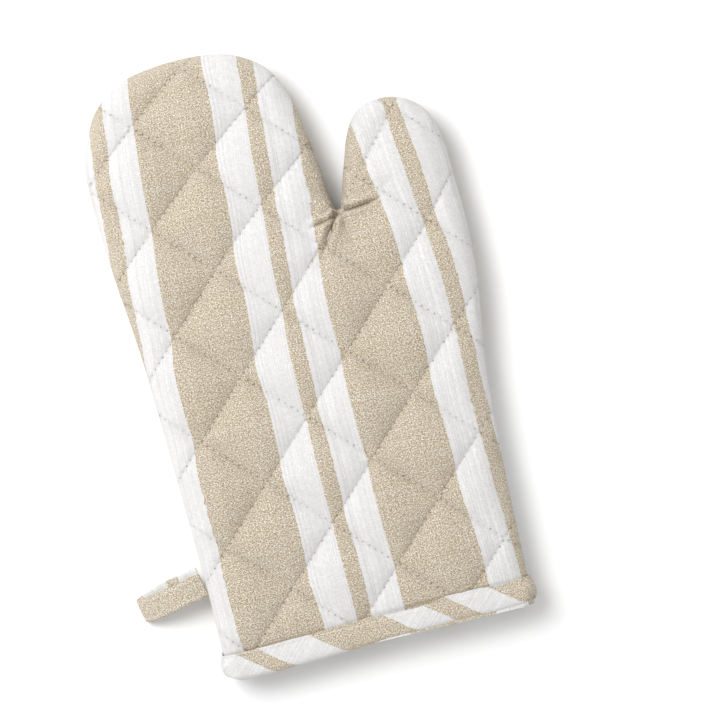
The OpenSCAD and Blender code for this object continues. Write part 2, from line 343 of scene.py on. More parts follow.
def from_stitches(p):
    """Distance of each point from the nearest stitch line."""
    return np.minimum(np.abs(line_offset(p, 1)), np.abs(line_offset(p, -1)))


def edge_rows(loop, boundary):
    """Rows of points round the rolled edge, close together where it turns down."""
    rows = []
    for angle in (16, 32, 48, 66, 84):
        d = ROLL * (1 - math.cos(math.radians(angle)))
        row = loop[1:-1] + to_the_left(loop)[1:-1] * d
        even = np.abs(edge_distance(row) - d) < 0.08 + 0.02 * d
        rows.append(row[even & inside(row, boundary)])
    return np.vstack(rows)


def even_grid(spacing, end_y, boundary):
    """A triangular grid over the flat part of the panel."""
    rows = []
    for n, y in enumerate(np.arange(end_y + spacing, PANEL_TOP, spacing * 0.866)):
        x = np.arange(-PANEL_REACH, PANEL_REACH, spacing) + (n % 2) * spacing / 2
        rows.append(np.stack([x, np.full(len(x), y)], axis=1))
    grid = np.vstack(rows)
    return grid[inside(grid, boundary) & (edge_distance(grid) > ROLL + 1.0)]


def fold_rows(boundary):
    """Close rows of points along each fold, none of them near another."""
    rows = []
    for line, _, width in FOLDS:
        line = curve(line, 1.7)[1:]
        rows += [line + to_the_left(line) * width * k for k in (-3.2, -1.9, -0.9, 0, 0.9, 1.9, 3.2)]
    points = np.vstack(rows)
    chosen = []
    for q in points[inside(points, boundary) & (edge_distance(points) > 0.9)]:
        if all((q[0] - c[0]) ** 2 + (q[1] - c[1]) ** 2 > 0.75 for c in chosen):
            chosen.append(q)
    return np.array(chosen)


def panel_plan(spacing, end_y):
    """A flat triangle mesh of the panel with its stitch lines and the thumb line as edges."""
    loop = outline(spacing * 0.8, end_y)
    closing = np.stack([np.linspace(CUFF_LEFT, CUFF_RIGHT, 40)[1:-1], np.full(38, end_y)], axis=1)
    boundary = np.vstack([loop, closing])
    points = [tuple(q) for q in boundary]
    edges = [(i, (i + 1) % len(points)) for i in range(len(points))]

    loose = np.vstack([edge_rows(loop, boundary), even_grid(spacing, end_y, boundary)])
    split = np.abs((loose - CROTCH) @ split_normal)
    split[loose[:, 1] > CROTCH[1]] = 99
    loose = loose[(from_stitches(loose) > 1.0) & (split > 1.0)]
    folds = fold_rows(boundary)
    split = np.abs((folds - CROTCH) @ split_normal)
    folds = folds[(from_stitches(folds) > 0.5) & (split > 0.5)]
    points += [tuple(q) for q in loose[fold_distance(loose) > 4.6]]
    points += [tuple(q) for q in folds]

    # stitch lines
    for family in (1, -1):
        for line in stitch_points(family):
            ok = inside(line, boundary) & (edge_distance(line) > 0.3)
            for a, b in clip_runs(ok):
                if b - a < 2:
                    continue
                start = len(points)
                points += [tuple(q) for q in line[a:b]]
                edges += [(start + i, start + i + 1) for i in range(b - a - 1)]
    # thumb line
    length = np.linalg.norm(THUMB_SIDE - CROTCH)
    s = np.linspace(1.8, length + 2.0, int(length / spacing))
    start = len(points)
    points += [tuple(CROTCH + split_dir * q) for q in s]
    edges += [(start + i, start + i + 1) for i in range(len(s) - 1)]

    co, _, faces, *_ = geometry.delaunay_2d_cdt([Vector(q) for q in points], edges, [], 0, 1e-4)
    co = np.array([tuple(c) for c in co])
    faces = np.array([tuple(f) for f in faces if len(f) == 3])
    middle = co[faces].mean(axis=1)
    faces = faces[inside(middle, boundary)]
    used = np.unique(faces)
    index = np.full(len(co), -1)
    index[used] = np.arange(len(used))
    return co[used], index[faces]


def rolled(d, top, middle):
    """Height above the seam of the smooth panel, at a distance d in from its edge."""
    angle = np.arccos(np.clip(1 - np.minimum(d, ROLL) / ROLL, -1, 1))
    return middle + (top - middle) * np.sin(angle)


def puff(p):
    """Share of the full puff at each point: 0 on a stitch line, 1 in the middle of a diamond."""
    half = SPACING / 2
    a = 1 - (1 - np.abs(line_offset(p, 1)) / half) ** 2.6
    b = 1 - (1 - np.abs(line_offset(p, -1)) / half) ** 2.6
    return a * b


def fold_height(p):
    """Sharp creases that run out of the crotch, with the cloth swelling beside them."""
    h = np.zeros(len(p))
    for line, depth, width in FOLDS:
        d, share = from_line(p, curve(line, 1.0))
        fade = smoothstep(0, 0.06, share) * (1 - smoothstep(0.45, 1.0, share))
        h -= 1.25 * depth * fade * np.exp(-(d / width) ** 1.2)
        h += 0.60 * depth * fade * np.exp(-((d - 2.4 * width) / (1.4 * width)) ** 2)
    return h


def binding_rise(x):
    """How far the binding's front leans up towards the right."""
    return -1.0 + 3.6 * smoothstep(-82, 45, x)


def painted_crease_shade(p, side):
    """How much painted shade darkens the cloth where it dives into a crease, and along the binding's top
    edge as its painted shadow: 0 to 1.
    """
    # painted shade along the stitch lines, stronger on the rising lines, which face across the light
    dark = 0.30 * np.exp(-(line_offset(p, 1) / 0.75) ** 2) * (0.6 + 0.4 * value_noise(p, 14, 101))
    dark = np.maximum(dark, 0.22 * np.exp(-(line_offset(p, -1) / 0.8) ** 2))
    # painted shade in the folds that run out of the crotch
    for line, depth, width in FOLDS:
        d, share = from_line(p, curve(line, 1.0))
        fade = smoothstep(0, 0.05, share) * (1 - smoothstep(0.5, 1.0, share))
        dark = np.maximum(dark, 0.34 * depth * fade * np.exp(-(d / (0.55 * width)) ** 2))
    # painted shadow of the binding's top edge on the outer cloth
    edge = BINDING_TOP + (binding_rise(p[:, 0]) if side > 0 else 0)
    dark = np.maximum(dark, 0.55 * np.exp(-((p[:, 1] - edge) / 1.1) ** 2))
    return np.clip(dark, 0, 0.85)


PUFFING = {
    "quality": 6, "mass": 0.12, "air_damping": 2.0,
    "tension_stiffness": 18, "compression_stiffness": 12, "shear_stiffness": 6, "bending_stiffness": 0.35,
    "use_pressure": True, "uniform_pressure_force": 1.3, "shrink_min": -0.006,
    "vertex_group_mass": "pin", "pin_stiffness": 5.0,
}


def make_mesh(name, co, faces):
    """A new object in the scene from points and faces."""
    mesh = bpy.data.meshes.new(name)
    mesh.from_pydata([tuple(c) for c in co], [], [tuple(int(i) for i in f) for f in faces])
    mesh.update()
    obj = bpy.data.objects.new(name, mesh)
    bpy.context.scene.collection.objects.link(obj)
    return obj


def coordinates(mesh):
    co = np.empty(len(mesh.vertices) * 3)
    mesh.vertices.foreach_get("co", co)
    return co.reshape(-1, 3)


def set_coordinates(mesh, co):
    mesh.vertices.foreach_set("co", np.asarray(co, float).ravel())
    mesh.update()


def simulate_puffs(co, faces, pinned):
    """Blows the pinned, slightly oversized cloth up between its stitch lines. Sizes in mm."""
    obj = make_mesh("puff_sim", co * SIM_UNIT, faces)
    group = obj.vertex_groups.new(name="pin")
    for i, w in enumerate(pinned):
        if w > 0:
            group.add([i], float(w), "REPLACE")
    cloth = obj.modifiers.new("Cloth", "CLOTH")
    for key, value in PUFFING.items():
        setattr(cloth.settings, key, value)
    cloth.settings.effector_weights.gravity = 0
    cloth.collision_settings.use_collision = False
    cloth.collision_settings.use_self_collision = False
    cloth.point_cache.frame_start = 1
    cloth.point_cache.frame_end = SIM_FRAMES + 2
    scene = bpy.context.scene
    for f in range(1, SIM_FRAMES + 1):
        scene.frame_set(f)
    dg = bpy.context.evaluated_depsgraph_get()
    out = coordinates(obj.evaluated_get(dg).data) / SIM_UNIT
    scene.frame_set(1)
    bpy.data.objects.remove(obj, do_unlink=True)
    return out


def subdivide(obj, levels):
    """Replaces the mesh with its own smooth subdivision."""
    mod = obj.modifiers.new("Subdivision", "SUBSURF")
    mod.levels = levels
    mod.render_levels = levels
    mod.boundary_smooth = "PRESERVE_CORNERS"
    bpy.context.view_layer.objects.active = obj
    dg = bpy.context.evaluated_depsgraph_get()
    mesh = bpy.data.meshes.new_from_object(obj.evaluated_get(dg))
    old = obj.data
    obj.modifiers.clear()
    obj.data = mesh
    bpy.data.meshes.remove(old)


# for each side, the flat plan, its faces and the simulated cloth, for the layers below to follow
inner = {}


def panel_shell(name, side):
    """The outer cloth of one panel, side 1 for the front and -1 for the back, as one mesh in mm."""
    plan, faces = panel_plan(COARSE, CUFF_Y + 1.6)
    d = edge_distance(plan)
    on_line = from_stitches(plan) < 0.02
    z = rolled(d, TOP_Z - SEAM_Z, ROLL_MID) - 1.7 * smoothstep(2.0, 11.0, d)
    z -= 1.6 * smoothstep(BINDING_TOP + 5, BINDING_TOP - 0.5, plan[:, 1]) * smoothstep(1, 9, d)
    co = np.column_stack([plan, SEAM_Z + side * z])
    if side < 0:
        faces = faces[:, ::-1]
    pinned = np.where(on_line, 1.0, 0.0)
    pinned[d < 3.2] = 1.0
    pinned[plan[:, 1] < BINDING_TOP - 1.0] = 1.0
    pinned[fold_distance(plan) < 4.0] = 1.0
    moved = simulate_puffs(co, faces, pinned)
    shift = moved - co
    size = np.linalg.norm(shift, axis=1)
    shift *= (np.minimum(size, PUFF_CAP) / np.maximum(size, 1e-6))[:, None]
    co = co + shift
    inner[side] = (plan, faces, co.copy())
    obj = make_mesh(name, co, faces)
    mesh = obj.data
    # keep the stitch lines crisp through the subdivision
    crease = mesh.attributes.new("crease_edge", "FLOAT", "EDGE")
    pairs = np.empty(len(mesh.edges) * 2, int)
    mesh.edges.foreach_get("vertices", pairs)
    pairs = pairs.reshape(-1, 2)
    mid = plan[pairs].mean(axis=1)
    sharp = np.minimum(np.abs(line_offset(mid, 1)), np.abs(line_offset(mid, -1))) < 0.02
    sharp &= on_line[pairs[:, 0]] & on_line[pairs[:, 1]]
    crease.data.foreach_set("value", np.where(sharp, 0.55, 0.0).astype(np.float32))
    # the plan position rides along as an attribute, for the stripes and the splitting
    store(mesh, "plan_x", plan[:, 0])
    store(mesh, "plan_y", plan[:, 1])
    # turn the edge under, down to the seam
    bm = bmesh.new()
    bm.from_mesh(mesh)
    bm.verts.ensure_lookup_table()
    lx, ly = bm.verts.layers.float["plan_x"], bm.verts.layers.float["plan_y"]
    rim = [e for e in bm.edges if len(e.link_faces) == 1
           and not (e.verts[0][ly] < CUFF_Y + 2.2 and e.verts[1][ly] < CUFF_Y + 2.2)]
    turn = bm.verts.layers.float.new("turn")
    for inset, drop, arc in ((0.35, 1.2, 1.25), (1.25, 2.1, 2.5), (2.5, 2.55, 3.8)):
        made = bmesh.ops.extrude_edge_only(bm, edges=rim)["geom"]
        new_verts = [g for g in made if isinstance(g, bmesh.types.BMVert)]
        rim = [g for g in made if isinstance(g, bmesh.types.BMEdge)
               and g.verts[0] in set(new_verts) and g.verts[1] in set(new_verts)]
        p = np.array([(v[lx], v[ly]) for v in new_verts])
        inward = edge_inward(p)
        for v, q, n in zip(new_verts, p, inward):
            v.co.x, v.co.y = q[0] + n[0] * inset, q[1] + n[1] * inset
            v.co.z = SEAM_Z + side * (ROLL_MID - drop)
            v[turn] = arc
    bmesh.ops.recalc_face_normals(bm, faces=bm.faces[:])
    up = sum(f.normal.z * f.calc_area() for f in bm.faces)
    if up * side < 0:
        bmesh.ops.reverse_faces(bm, faces=bm.faces[:])
    bm.to_mesh(mesh)
    bm.free()
    subdivide(obj, 2)
    return obj


def edge_inward(p):
    """Direction from the sewn edge towards the inside of the panel, next to each point."""
    a, b = EDGE[:-1], EDGE[1:]
    d = b - a
    n = unit(np.stack([-d[:, 1], d[:, 0]], axis=1))
    mid = (a + b) / 2
    out = np.zeros((len(p), 2))
    for i, q in enumerate(p):
        gap = ((mid - q) ** 2).sum(1)
        out[i] = (n * np.exp(-(gap - gap.min()) / 6.0)[:, None]).sum(0)
    return unit(out)


def unrolled(p, mesh):
    """Positions on the cloth laid flat: the rounded edge is opened outwards by its arc."""
    across = np.clip(ROLL - edge_distance(p), 0, ROLL)
    excess = ROLL * np.arcsin(across / ROLL) - across + stored(mesh, "turn")
    near = excess > 0.01
    out = p.copy()
    out[near] -= edge_inward(p[near]) * excess[near, None]
    return out


def stored(mesh, key):
    """One number for each vertex, kept on the mesh under this name."""
    out = np.empty(len(mesh.vertices), np.float32)
    mesh.attributes[key].data.foreach_get("value", out)
    return out.astype(float)


def store(mesh, key, values):
    data = mesh.attributes.new(key, "FLOAT", "POINT").data
    data.foreach_set("value", np.asarray(values, np.float32))


def plan_of(mesh):
    """Where each vertex lies in the panel's flat outline."""
    return np.column_stack([stored(mesh, "plan_x"), stored(mesh, "plan_y")])


def vertex_normals(mesh):
    n = np.empty(len(mesh.vertices) * 3)
    mesh.vertex_normals.foreach_get("vector", n)
    return n.reshape(-1, 3)


def pressed(z):
    """The back lies on the table: heights below it are squeezed to just above zero."""
    low, soft = 0.35, 1.2
    return np.where(z < low + soft, low + soft * np.exp(np.minimum(z - low - soft, 0) / soft), z)


def fine_detail(obj, side):
    """Puckers at the stitches, ripples along the seam, and slow unevenness."""
    mesh = obj.data
    co = coordinates(mesh)
    n = vertex_normals(mesh)
    p = plan_of(mesh)
    d = edge_distance(p)
    h = 0.35 * value_noise(p, 31, 3) + 0.22 * value_noise(p, 13, 5) + 0.07 * value_noise(p, 5, 9)
    for family in (1, -1):
        t = line_offset(p, family)
        s = (to_quilt(p) - QUILT_AT) @ ALONG[family]
        near = np.exp(-np.abs(t) / 3.2)
        wave = np.cos(2 * math.pi * s / PITCH + 1.5 * value_noise(p, 9, 11 + family))
        strength = 0.5 + 0.5 * value_noise(p, 17, 21 + family)
        pucker = 0.13 * wave + 0.16 * value_noise(p, 3.1, 31 + family)
        h += near * smoothstep(0.2, 2.2, np.abs(t)) * pucker * (0.5 + strength)
        h -= 0.28 * np.exp(-(t / 0.7) ** 2)
    ripple = value_noise(np.column_stack([p @ np.array([0.9, 0.3]), p @ np.array([-0.3, 0.9])]), 4.3, 41)
    h += 0.22 * ripple * smoothstep(14, 2, d)
    h += fold_height(p) * (1 if side > 0 else 0.7)
    h *= smoothstep(CUFF_Y + 8, BINDING_TOP + 4, p[:, 1])
    co = co + n * (h * smoothstep(-0.5, 2.0, d))[:, None]
    if side < 0:
        co[:, 2] = pressed(co[:, 2])
    set_coordinates(mesh, co)


def add_uv(mesh, name, uv):
    """A map with one place for each vertex, in tenths of a metre."""
    layer = mesh.uv_layers.new(name=name)
    loops = np.empty(len(mesh.loops), int)
    mesh.loops.foreach_get("vertex_index", loops)
    layer.data.foreach_set("uv", (uv[loops] / 100).astype(np.float32).ravel())


def thumb_side(plan, faces, want_thumb):
    """The faces of a triangle mesh on one side of the thumb line, renumbered, and the points they use."""
    chosen = faces[on_thumb(plan[faces].mean(axis=1)) == want_thumb]
    used = np.unique(chosen)
    index = np.full(len(plan), -1)
    index[used] = np.arange(len(used))
    return used, index[chosen]


def split_panel(obj, side, names):
    """Cuts the finished panel at the thumb line into the hand and the thumb, normals kept."""
    mesh = obj.data
    co = coordinates(mesh)
    normals = vertex_normals(mesh)
    p = plan_of(mesh)
    faces = np.array([tuple(f.vertices) for f in mesh.polygons])
    flat = unrolled(p, mesh)
    made = []
    for want_thumb, name in enumerate(names):
        used, chosen = thumb_side(p, faces, want_thumb)
        part = make_mesh(name, co[used] * MM, chosen)
        q = p[used]
        add_uv(part.data, "cloth", cloth_coordinates(q, back=side < 0))
        add_uv(part.data, "plan", to_quilt(q))
        add_uv(part.data, "grain", cloth_coordinates(flat[used], back=side < 0))
        # painted shade for the creases and the binding's edge, kept for each vertex
        store(part.data, "painted_shade", painted_crease_shade(q, side))
        part.data.shade_smooth()
        part.data.normals_split_custom_set_from_vertices([tuple(v) for v in normals[used]])
        made.append(part)
    bpy.data.objects.remove(obj, do_unlink=True)
    return made


# ---- materials
class Nodes:
    """Short names for building a node tree."""

    def __init__(self, name):
        self.material = bpy.data.materials.new(name)
        self.material.use_nodes = True
        self.tree = self.material.node_tree
        self.tree.nodes.clear()
        self.out = self.tree.nodes.new("ShaderNodeOutputMaterial")
        self.bsdf = self.tree.nodes.new("ShaderNodeBsdfPrincipled")
        self.link(self.bsdf.outputs[0], self.out.inputs[0])

    def link(self, a, b):
        self.tree.links.new(a, b)

    def set(self, socket, value):
        if isinstance(value, bpy.types.NodeSocket):
            self.link(value, socket)
        else:
            socket.default_value = value

    def math(self, op, a, b=None):
        n = self.tree.nodes.new("ShaderNodeMath")
        n.operation = op
        self.set(n.inputs[0], a)
        if b is not None:
            self.set(n.inputs[1], b)
        return n.outputs[0]

    def add(self, a, b):
        return self.math("ADD", a, b)

    def sub(self, a, b):
        return self.math("SUBTRACT", a, b)

    def mul(self, a, b):
        return self.math("MULTIPLY", a, b)

    def div(self, a, b):
        return self.math("DIVIDE", a, b)

    def uv(self, name):
        n = self.tree.nodes.new("ShaderNodeUVMap")
        n.uv_map = name
        s = self.tree.nodes.new("ShaderNodeSeparateXYZ")
        self.link(n.outputs[0], s.inputs[0])
        return self.mul(s.outputs[0], 100.0), self.mul(s.outputs[1], 100.0)

    def combine(self, x, y, z=0.0):
        n = self.tree.nodes.new("ShaderNodeCombineXYZ")
        for k, v in enumerate((x, y, z)):
            self.set(n.inputs[k], v)
        return n.outputs[0]

    def noise(self, vector, scale, detail=2.0, rough=0.5):
        n = self.tree.nodes.new("ShaderNodeTexNoise")
        self.set(n.inputs["Vector"], vector)
        n.inputs["Scale"].default_value = scale
        n.inputs["Detail"].default_value = detail
        n.inputs["Roughness"].default_value = rough
        return n.outputs[0]

    def attribute(self, name):
        n = self.tree.nodes.new("ShaderNodeAttribute")
        n.attribute_name = name
        return n.outputs["Fac"]

    def white(self, vector):
        n = self.tree.nodes.new("ShaderNodeTexWhiteNoise")
        n.noise_dimensions = "3D"
        self.set(n.inputs["Vector"], vector)
        return n.outputs[0]

    def stripes(self, u, edges, low, high):
        """1 on tan cloth and 0 on white, from the places between low and high where it changes."""
        n = self.tree.nodes.new("ShaderNodeValToRGB")
        n.color_ramp.interpolation = "CONSTANT"
        stops = [(0.0, 1 - edges[0][1])] + [((x - low) / (high - low), tan) for x, tan in edges]
        marks = n.color_ramp.elements
        while len(marks) < len(stops):
            marks.new(0.5)
        for mark, (at, tan) in zip(marks, stops):
            mark.position = at
            mark.color = (tan, tan, tan, 1)
        self.set(n.inputs[0], self.div(self.sub(u, low), high - low))
        return n.outputs[0]

    def ragged(self, u, v, by):
        """Steps a stripe's edge sideways a little from one crossing yarn to the next."""
        yarn = self.white(self.combine(self.math("FLOOR", self.div(v, 0.5)), 1.7))
        return self.add(u, self.mul(self.sub(yarn, 0.5), by))

    def step(self, a, b, x):
        n = self.tree.nodes.new("ShaderNodeMapRange")
        n.interpolation_type = "SMOOTHSTEP"
        self.set(n.inputs[0], x)
        n.inputs[1].default_value, n.inputs[2].default_value = a, b
        n.inputs[3].default_value, n.inputs[4].default_value = 0, 1
        return n.outputs[0]

    def mix(self, f, a, b, kind="MIX"):
        n = self.tree.nodes.new("ShaderNodeMix")
        n.data_type = "RGBA"
        n.blend_type = kind
        self.set(n.inputs[0], f)
        self.set(n.inputs[6], (*a, 1) if isinstance(a, tuple) else a)
        self.set(n.inputs[7], (*b, 1) if isinstance(b, tuple) else b)
        return n.outputs[2]

    def surface(self, colour, height, relief, roughness, sheen, specular=0.5):
        """Ends the material: its colour, its relief in metres and how it shines."""
        n = self.tree.nodes.new("ShaderNodeBump")
        n.inputs["Strength"].default_value = 1.0
        n.inputs["Distance"].default_value = relief
        self.set(n.inputs["Height"], height)
        face = self.bsdf.inputs
        face["Roughness"].default_value = roughness
        face["Sheen Weight"].default_value = sheen
        face["Specular IOR Level"].default_value = specular
        self.link(n.outputs[0], face["Normal"])
        self.set(face["Base Color"], colour)
        return self.material


# painted shadow colour of the gaps between tan yarns
DARK_GAP = (0.30, 0.225, 0.13)


def weave(n, u, v, stripe, yarn=0.58):
    """Colour and height of a plain weave; stripe is 1 where the lengthwise yarns are tan."""
    drift = n.mul(n.sub(n.noise(n.combine(u, v), 0.35, 2.0), 0.5), 1.1)
    a = n.div(n.add(u, drift), yarn)
    b = n.div(n.add(v, drift), yarn * 0.92)
    ca = n.math("SINE", n.mul(a, math.pi))
    cb = n.math("SINE", n.mul(b, math.pi))
    over = n.mul(ca, cb)
    column, row = n.math("FLOOR", a), n.math("FLOOR", b)
    # each yarn's own tone, each crossing's own tone, and slubs along the yarns
    end_tone = n.white(n.combine(column, 3.1))
    pick_tone = n.white(n.combine(7.7, row))
    cell = n.white(n.combine(column, row))
    slub_u = n.noise(n.combine(n.mul(u, 1.8), n.mul(v, 0.16)), 1.0, 2.0)
    slub_v = n.noise(n.combine(n.mul(u, 0.20), n.mul(v, 1.9)), 1.0, 2.0)
    # short pale flecks where the crossing yarn shows, one or two crossings long
    grain = n.noise(n.combine(n.mul(u, 1.20), n.mul(v, 1.65)), 1.0, 2.0, 0.85)
    warp_up = n.step(-0.75, 0.15, over)
    tone = n.add(n.mul(end_tone, 0.30), n.mul(cell, 0.70))
    warp = n.mix(tone, (0.30, 0.205, 0.088), (0.72, 0.595, 0.395))
    warp = n.mix(n.mul(n.step(0.45, 0.75, slub_u), 0.25), warp, (0.70, 0.60, 0.43))
    weft = n.mix(pick_tone, (0.60, 0.52, 0.39), (0.88, 0.85, 0.79))
    tan = n.mix(warp_up, weft, warp)
    tan = n.mix(n.mul(n.step(0.52, 0.58, grain), 0.92), tan, (0.97, 0.945, 0.89))
    tan = n.mix(n.mul(n.step(0.49, 0.43, grain), 0.62), tan, (0.27, 0.185, 0.085))
    pale_tone = n.add(n.mul(end_tone, 0.55), n.mul(cell, 0.45))
    pale = n.mix(pale_tone, (0.68, 0.67, 0.665), (0.94, 0.93, 0.92))
    pale = n.mix(n.mul(n.step(0.50, 0.70, slub_v), 0.4), pale, (0.94, 0.935, 0.93))
    colour = n.mix(stripe, pale, tan)
    # shadow in the gaps between yarns
    gap_a, gap_b = n.math("ABSOLUTE", ca), n.math("ABSOLUTE", cb)
    gap = n.sub(1.0, n.step(0.0, 0.6, n.math("MINIMUM", gap_a, gap_b)))
    dark = n.mix(stripe, (0.55, 0.54, 0.545), DARK_GAP)
    colour = n.mix(n.mul(gap, 0.38), colour, dark)
    height = n.add(n.mul(n.sub(1.0, gap), 0.6),
                    n.mul(over, 0.25))
    height = n.add(height, n.mul(n.add(slub_u, slub_v), 0.35))
    height = n.add(height, n.mul(n.add(cell, grain), 0.45))
    return colour, height


def needle_holes(n, x, y):
    """1 in the middle of each needle hole of the quilting, 0 away from them."""
    best = None
    for family in (1, -1):
        dx, dy = n.sub(x, float(QUILT_AT[0])), n.sub(y, float(QUILT_AT[1]))
        s, t = (n.add(n.mul(dx, float(way[0])), n.mul(dy, float(way[1])))
                for way in (ALONG[family], ACROSS[family]))
        s = n.sub(n.math("FLOORED_MODULO", n.add(s, PITCH / 2), PITCH), PITCH / 2)
        t = n.sub(n.math("FLOORED_MODULO", n.add(t, SPACING / 2), SPACING), SPACING / 2)
        r = n.math("SQRT", n.add(n.mul(s, s), n.mul(t, t)))
        hole = n.sub(1.0, n.step(0.22, 0.62, r))
        best = hole if best is None else n.math("MAXIMUM", best, hole)
    return best


# where the colour changes across the flat cloth: 1 from here on for tan, 0 for white
STRIPES = [(-98.5, 1), (-90.2, 0), (-73.0, 1), (-29.4, 0), (-12.8, 1), (-3.7, 0), (13.9, 1),
           (59.4, 0), (76.5, 1), (85.1, 0), (102.5, 1), (147.0, 0)]


def striped_cloth(name):
    """The panels' cloth, with its stripes, its needle holes, and painted shade in its creases and in the
    needle holes.
    """
    n = Nodes(name)
    u, v = n.uv("cloth")
    stripe = n.stripes(n.ragged(u, v, 0.3), STRIPES, -150.0, 150.0)
    colour, height = weave(n, *n.uv("grain"), stripe)
    x, y = n.uv("plan")
    cloud = n.step(0.35, 0.75, n.noise(n.combine(x, y), 0.045, 3.0))
    colour = n.mix(n.mul(cloud, 0.10), colour, (0.70, 0.64, 0.55), "MULTIPLY")
    uneven = n.noise(n.combine(x, y), 0.13, 3.0, 0.7)
    hole = n.mul(needle_holes(n, x, y), n.step(0.30, 0.62, uneven))
    # painted shade in each needle hole: grey on the white cloth and dark brown on the tan
    colour = n.mix(n.mul(hole, 0.66), colour, n.mix(stripe, (0.27, 0.26, 0.27), (0.16, 0.115, 0.06)))
    # painted shade: the cloth is coloured darker in its creases and along the binding's top edge
    shade = n.mix(stripe, (0.50, 0.49, 0.50), (0.26, 0.185, 0.10))
    colour = n.mix(n.attribute("painted_shade"), colour, shade)
    return n.surface(colour, n.sub(height, n.mul(hole, 2.5)), 0.00016, 0.88, 0.25, 0.25)


def bias_cloth(name, edges):
    """Striped cloth whose stripes follow the second map's first coordinate."""
    n = Nodes(name)
    u, v = n.uv("cloth")
    place_on_tape = n.ragged(n.uv("plan")[0], v, 0.5)
    stripe = n.stripes(place_on_tape, edges, edges[0][0] - 1.0, edges[-1][0] + 60.0)
    colour, height = weave(n, u, v, stripe)
    return n.surface(colour, height, 0.00016, 0.88, 0.25, 0.25)


def plain_cloth(name, colour, dark, yarn=0.42):
    n = Nodes(name)
    u, v = n.uv("cloth")
    base, height = weave(n, u, v, 0.0, yarn)
    fuzz = n.noise(n.combine(u, v), 0.35, 4.0)
    base = n.mix(1.0, base, colour, "MULTIPLY")
    return n.surface(n.mix(n.mul(fuzz, 0.25), base, dark), height, 0.00014, 0.9, 0.2, 0.2)


def thread_material(name, colour, dark):
    n = Nodes(name)
    at = n.tree.nodes.new("ShaderNodeTexCoord").outputs["Object"]
    fine = n.noise(at, 2600, 3.0, 0.7)
    return n.surface(n.mix(n.step(0.35, 0.7, fine), dark, colour), fine, 0.0001, 0.55, 0.15, 0.35)


def padding_material(name):
    n = Nodes(name)
    at = n.tree.nodes.new("ShaderNodeTexCoord").outputs["Object"]
    tuft = n.noise(at, 420, 6.0, 0.7)
    fibre = n.noise(at, 2400, 2.0, 0.6)
    colour = n.mix(n.step(0.3, 0.75, tuft), (0.70, 0.68, 0.62), (0.86, 0.85, 0.81))
    colour = n.mix(n.mul(n.step(0.55, 0.7, fibre), 0.4), colour, (0.93, 0.92, 0.89))
    return n.surface(colour, n.add(tuft, fibre), 0.0006, 1.0, 0.5)


# ---- inner layers
def mesh_normals(co, faces):
    """Area-weighted vertex normals of a triangle mesh."""
    a, b, c = co[faces[:, 0]], co[faces[:, 1]], co[faces[:, 2]]
    face = np.cross(b - a, c - a)
    n = np.zeros_like(co)
    for k in range(3):
        np.add.at(n, faces[:, k], face)
    return unit(n)


def lining_surface(plan, faces, side):
    """The inside cloth of one panel: smooth, drawn outwards at each stitch line."""
    d = edge_distance(plan)
    co = np.column_stack([plan, SEAM_Z + side * rolled(d, TOP_Z - SEAM_Z, 0.3)])
    n = mesh_normals(co, faces)
    wrinkle = 0.35 * value_noise(plan, 15, 71) + 0.18 * value_noise(plan, 6, 72)
    depth = LINING_DEPTH + (0.7 * puff(plan) + wrinkle) * smoothstep(1, 9, d)
    co = co - n * depth[:, None]
    low = np.abs(co[:, 2] - SEAM_Z) < 0.25
    co[low, 2] = SEAM_Z + side * 0.25
    return co


def lining_piece(name, side, want_thumb):
    """The inside cloth of one panel on one side of the thumb line."""
    plan, faces, _ = inner[side]
    co = lining_surface(plan, faces, side)
    used, chosen = thumb_side(plan, faces[:, ::-1], want_thumb)
    obj = make_mesh(name, co[used] * MM, chosen)
    add_uv(obj.data, "cloth", plan[used])
    subdivide(obj, 1)
    obj.data.shade_smooth()
    return obj


def batting_piece(name, side, want_thumb):
    """The closed pad between the outer cloth and the lining."""
    plan, faces, shell = inner[side]
    depth = 1.1 + 3.4 * np.exp(-(fold_distance(plan) / 5.5) ** 2)
    outside = shell - mesh_normals(shell, faces) * depth[:, None]
    if side < 0:
        outside[:, 2] = np.maximum(outside[:, 2], pressed(shell[:, 2]) + 1.15)
    lining = lining_surface(plan, faces, side)
    lining += mesh_normals(lining, faces) * 0.55
    used, chosen = thumb_side(plan, faces, want_thumb)
    n = len(used)
    edges = {}
    for a, b, c in chosen:
        edges.update({(a, b): True, (b, c): True, (c, a): True})
    closed = [tuple(t) for t in chosen] + [tuple(n + t[::-1]) for t in chosen]
    closed += [(b, a, a + n, b + n) for a, b in edges if (b, a) not in edges]
    obj = make_mesh(name, np.vstack([outside[used], lining[used]]) * MM, closed)
    add_uv(obj.data, "cloth", np.vstack([plan[used]] * 2))
    obj.data.shade_smooth()
    return obj


# ---- threads, tapes
def tube_faces(base, rings, sides):
    """Faces of a closed tube made of rings of points, numbered from base."""
    def at(i, j):
        return base + i * sides + j % sides
    faces = [(at(i, j), at(i, j + 1), at(i + 1, j + 1), at(i + 1, j))
             for i in range(rings - 1) for j in range(sides)]
    start = tuple(at(0, j) for j in range(sides))[::-1]
    end = tuple(at(rings - 1, j) for j in range(sides))
    return faces + [start, end]


def face_outwards(obj):
    bm = bmesh.new()
    bm.from_mesh(obj.data)
    bmesh.ops.recalc_face_normals(bm, faces=bm.faces[:])
    bm.to_mesh(obj.data)
    bm.free()
    obj.data.shade_smooth()


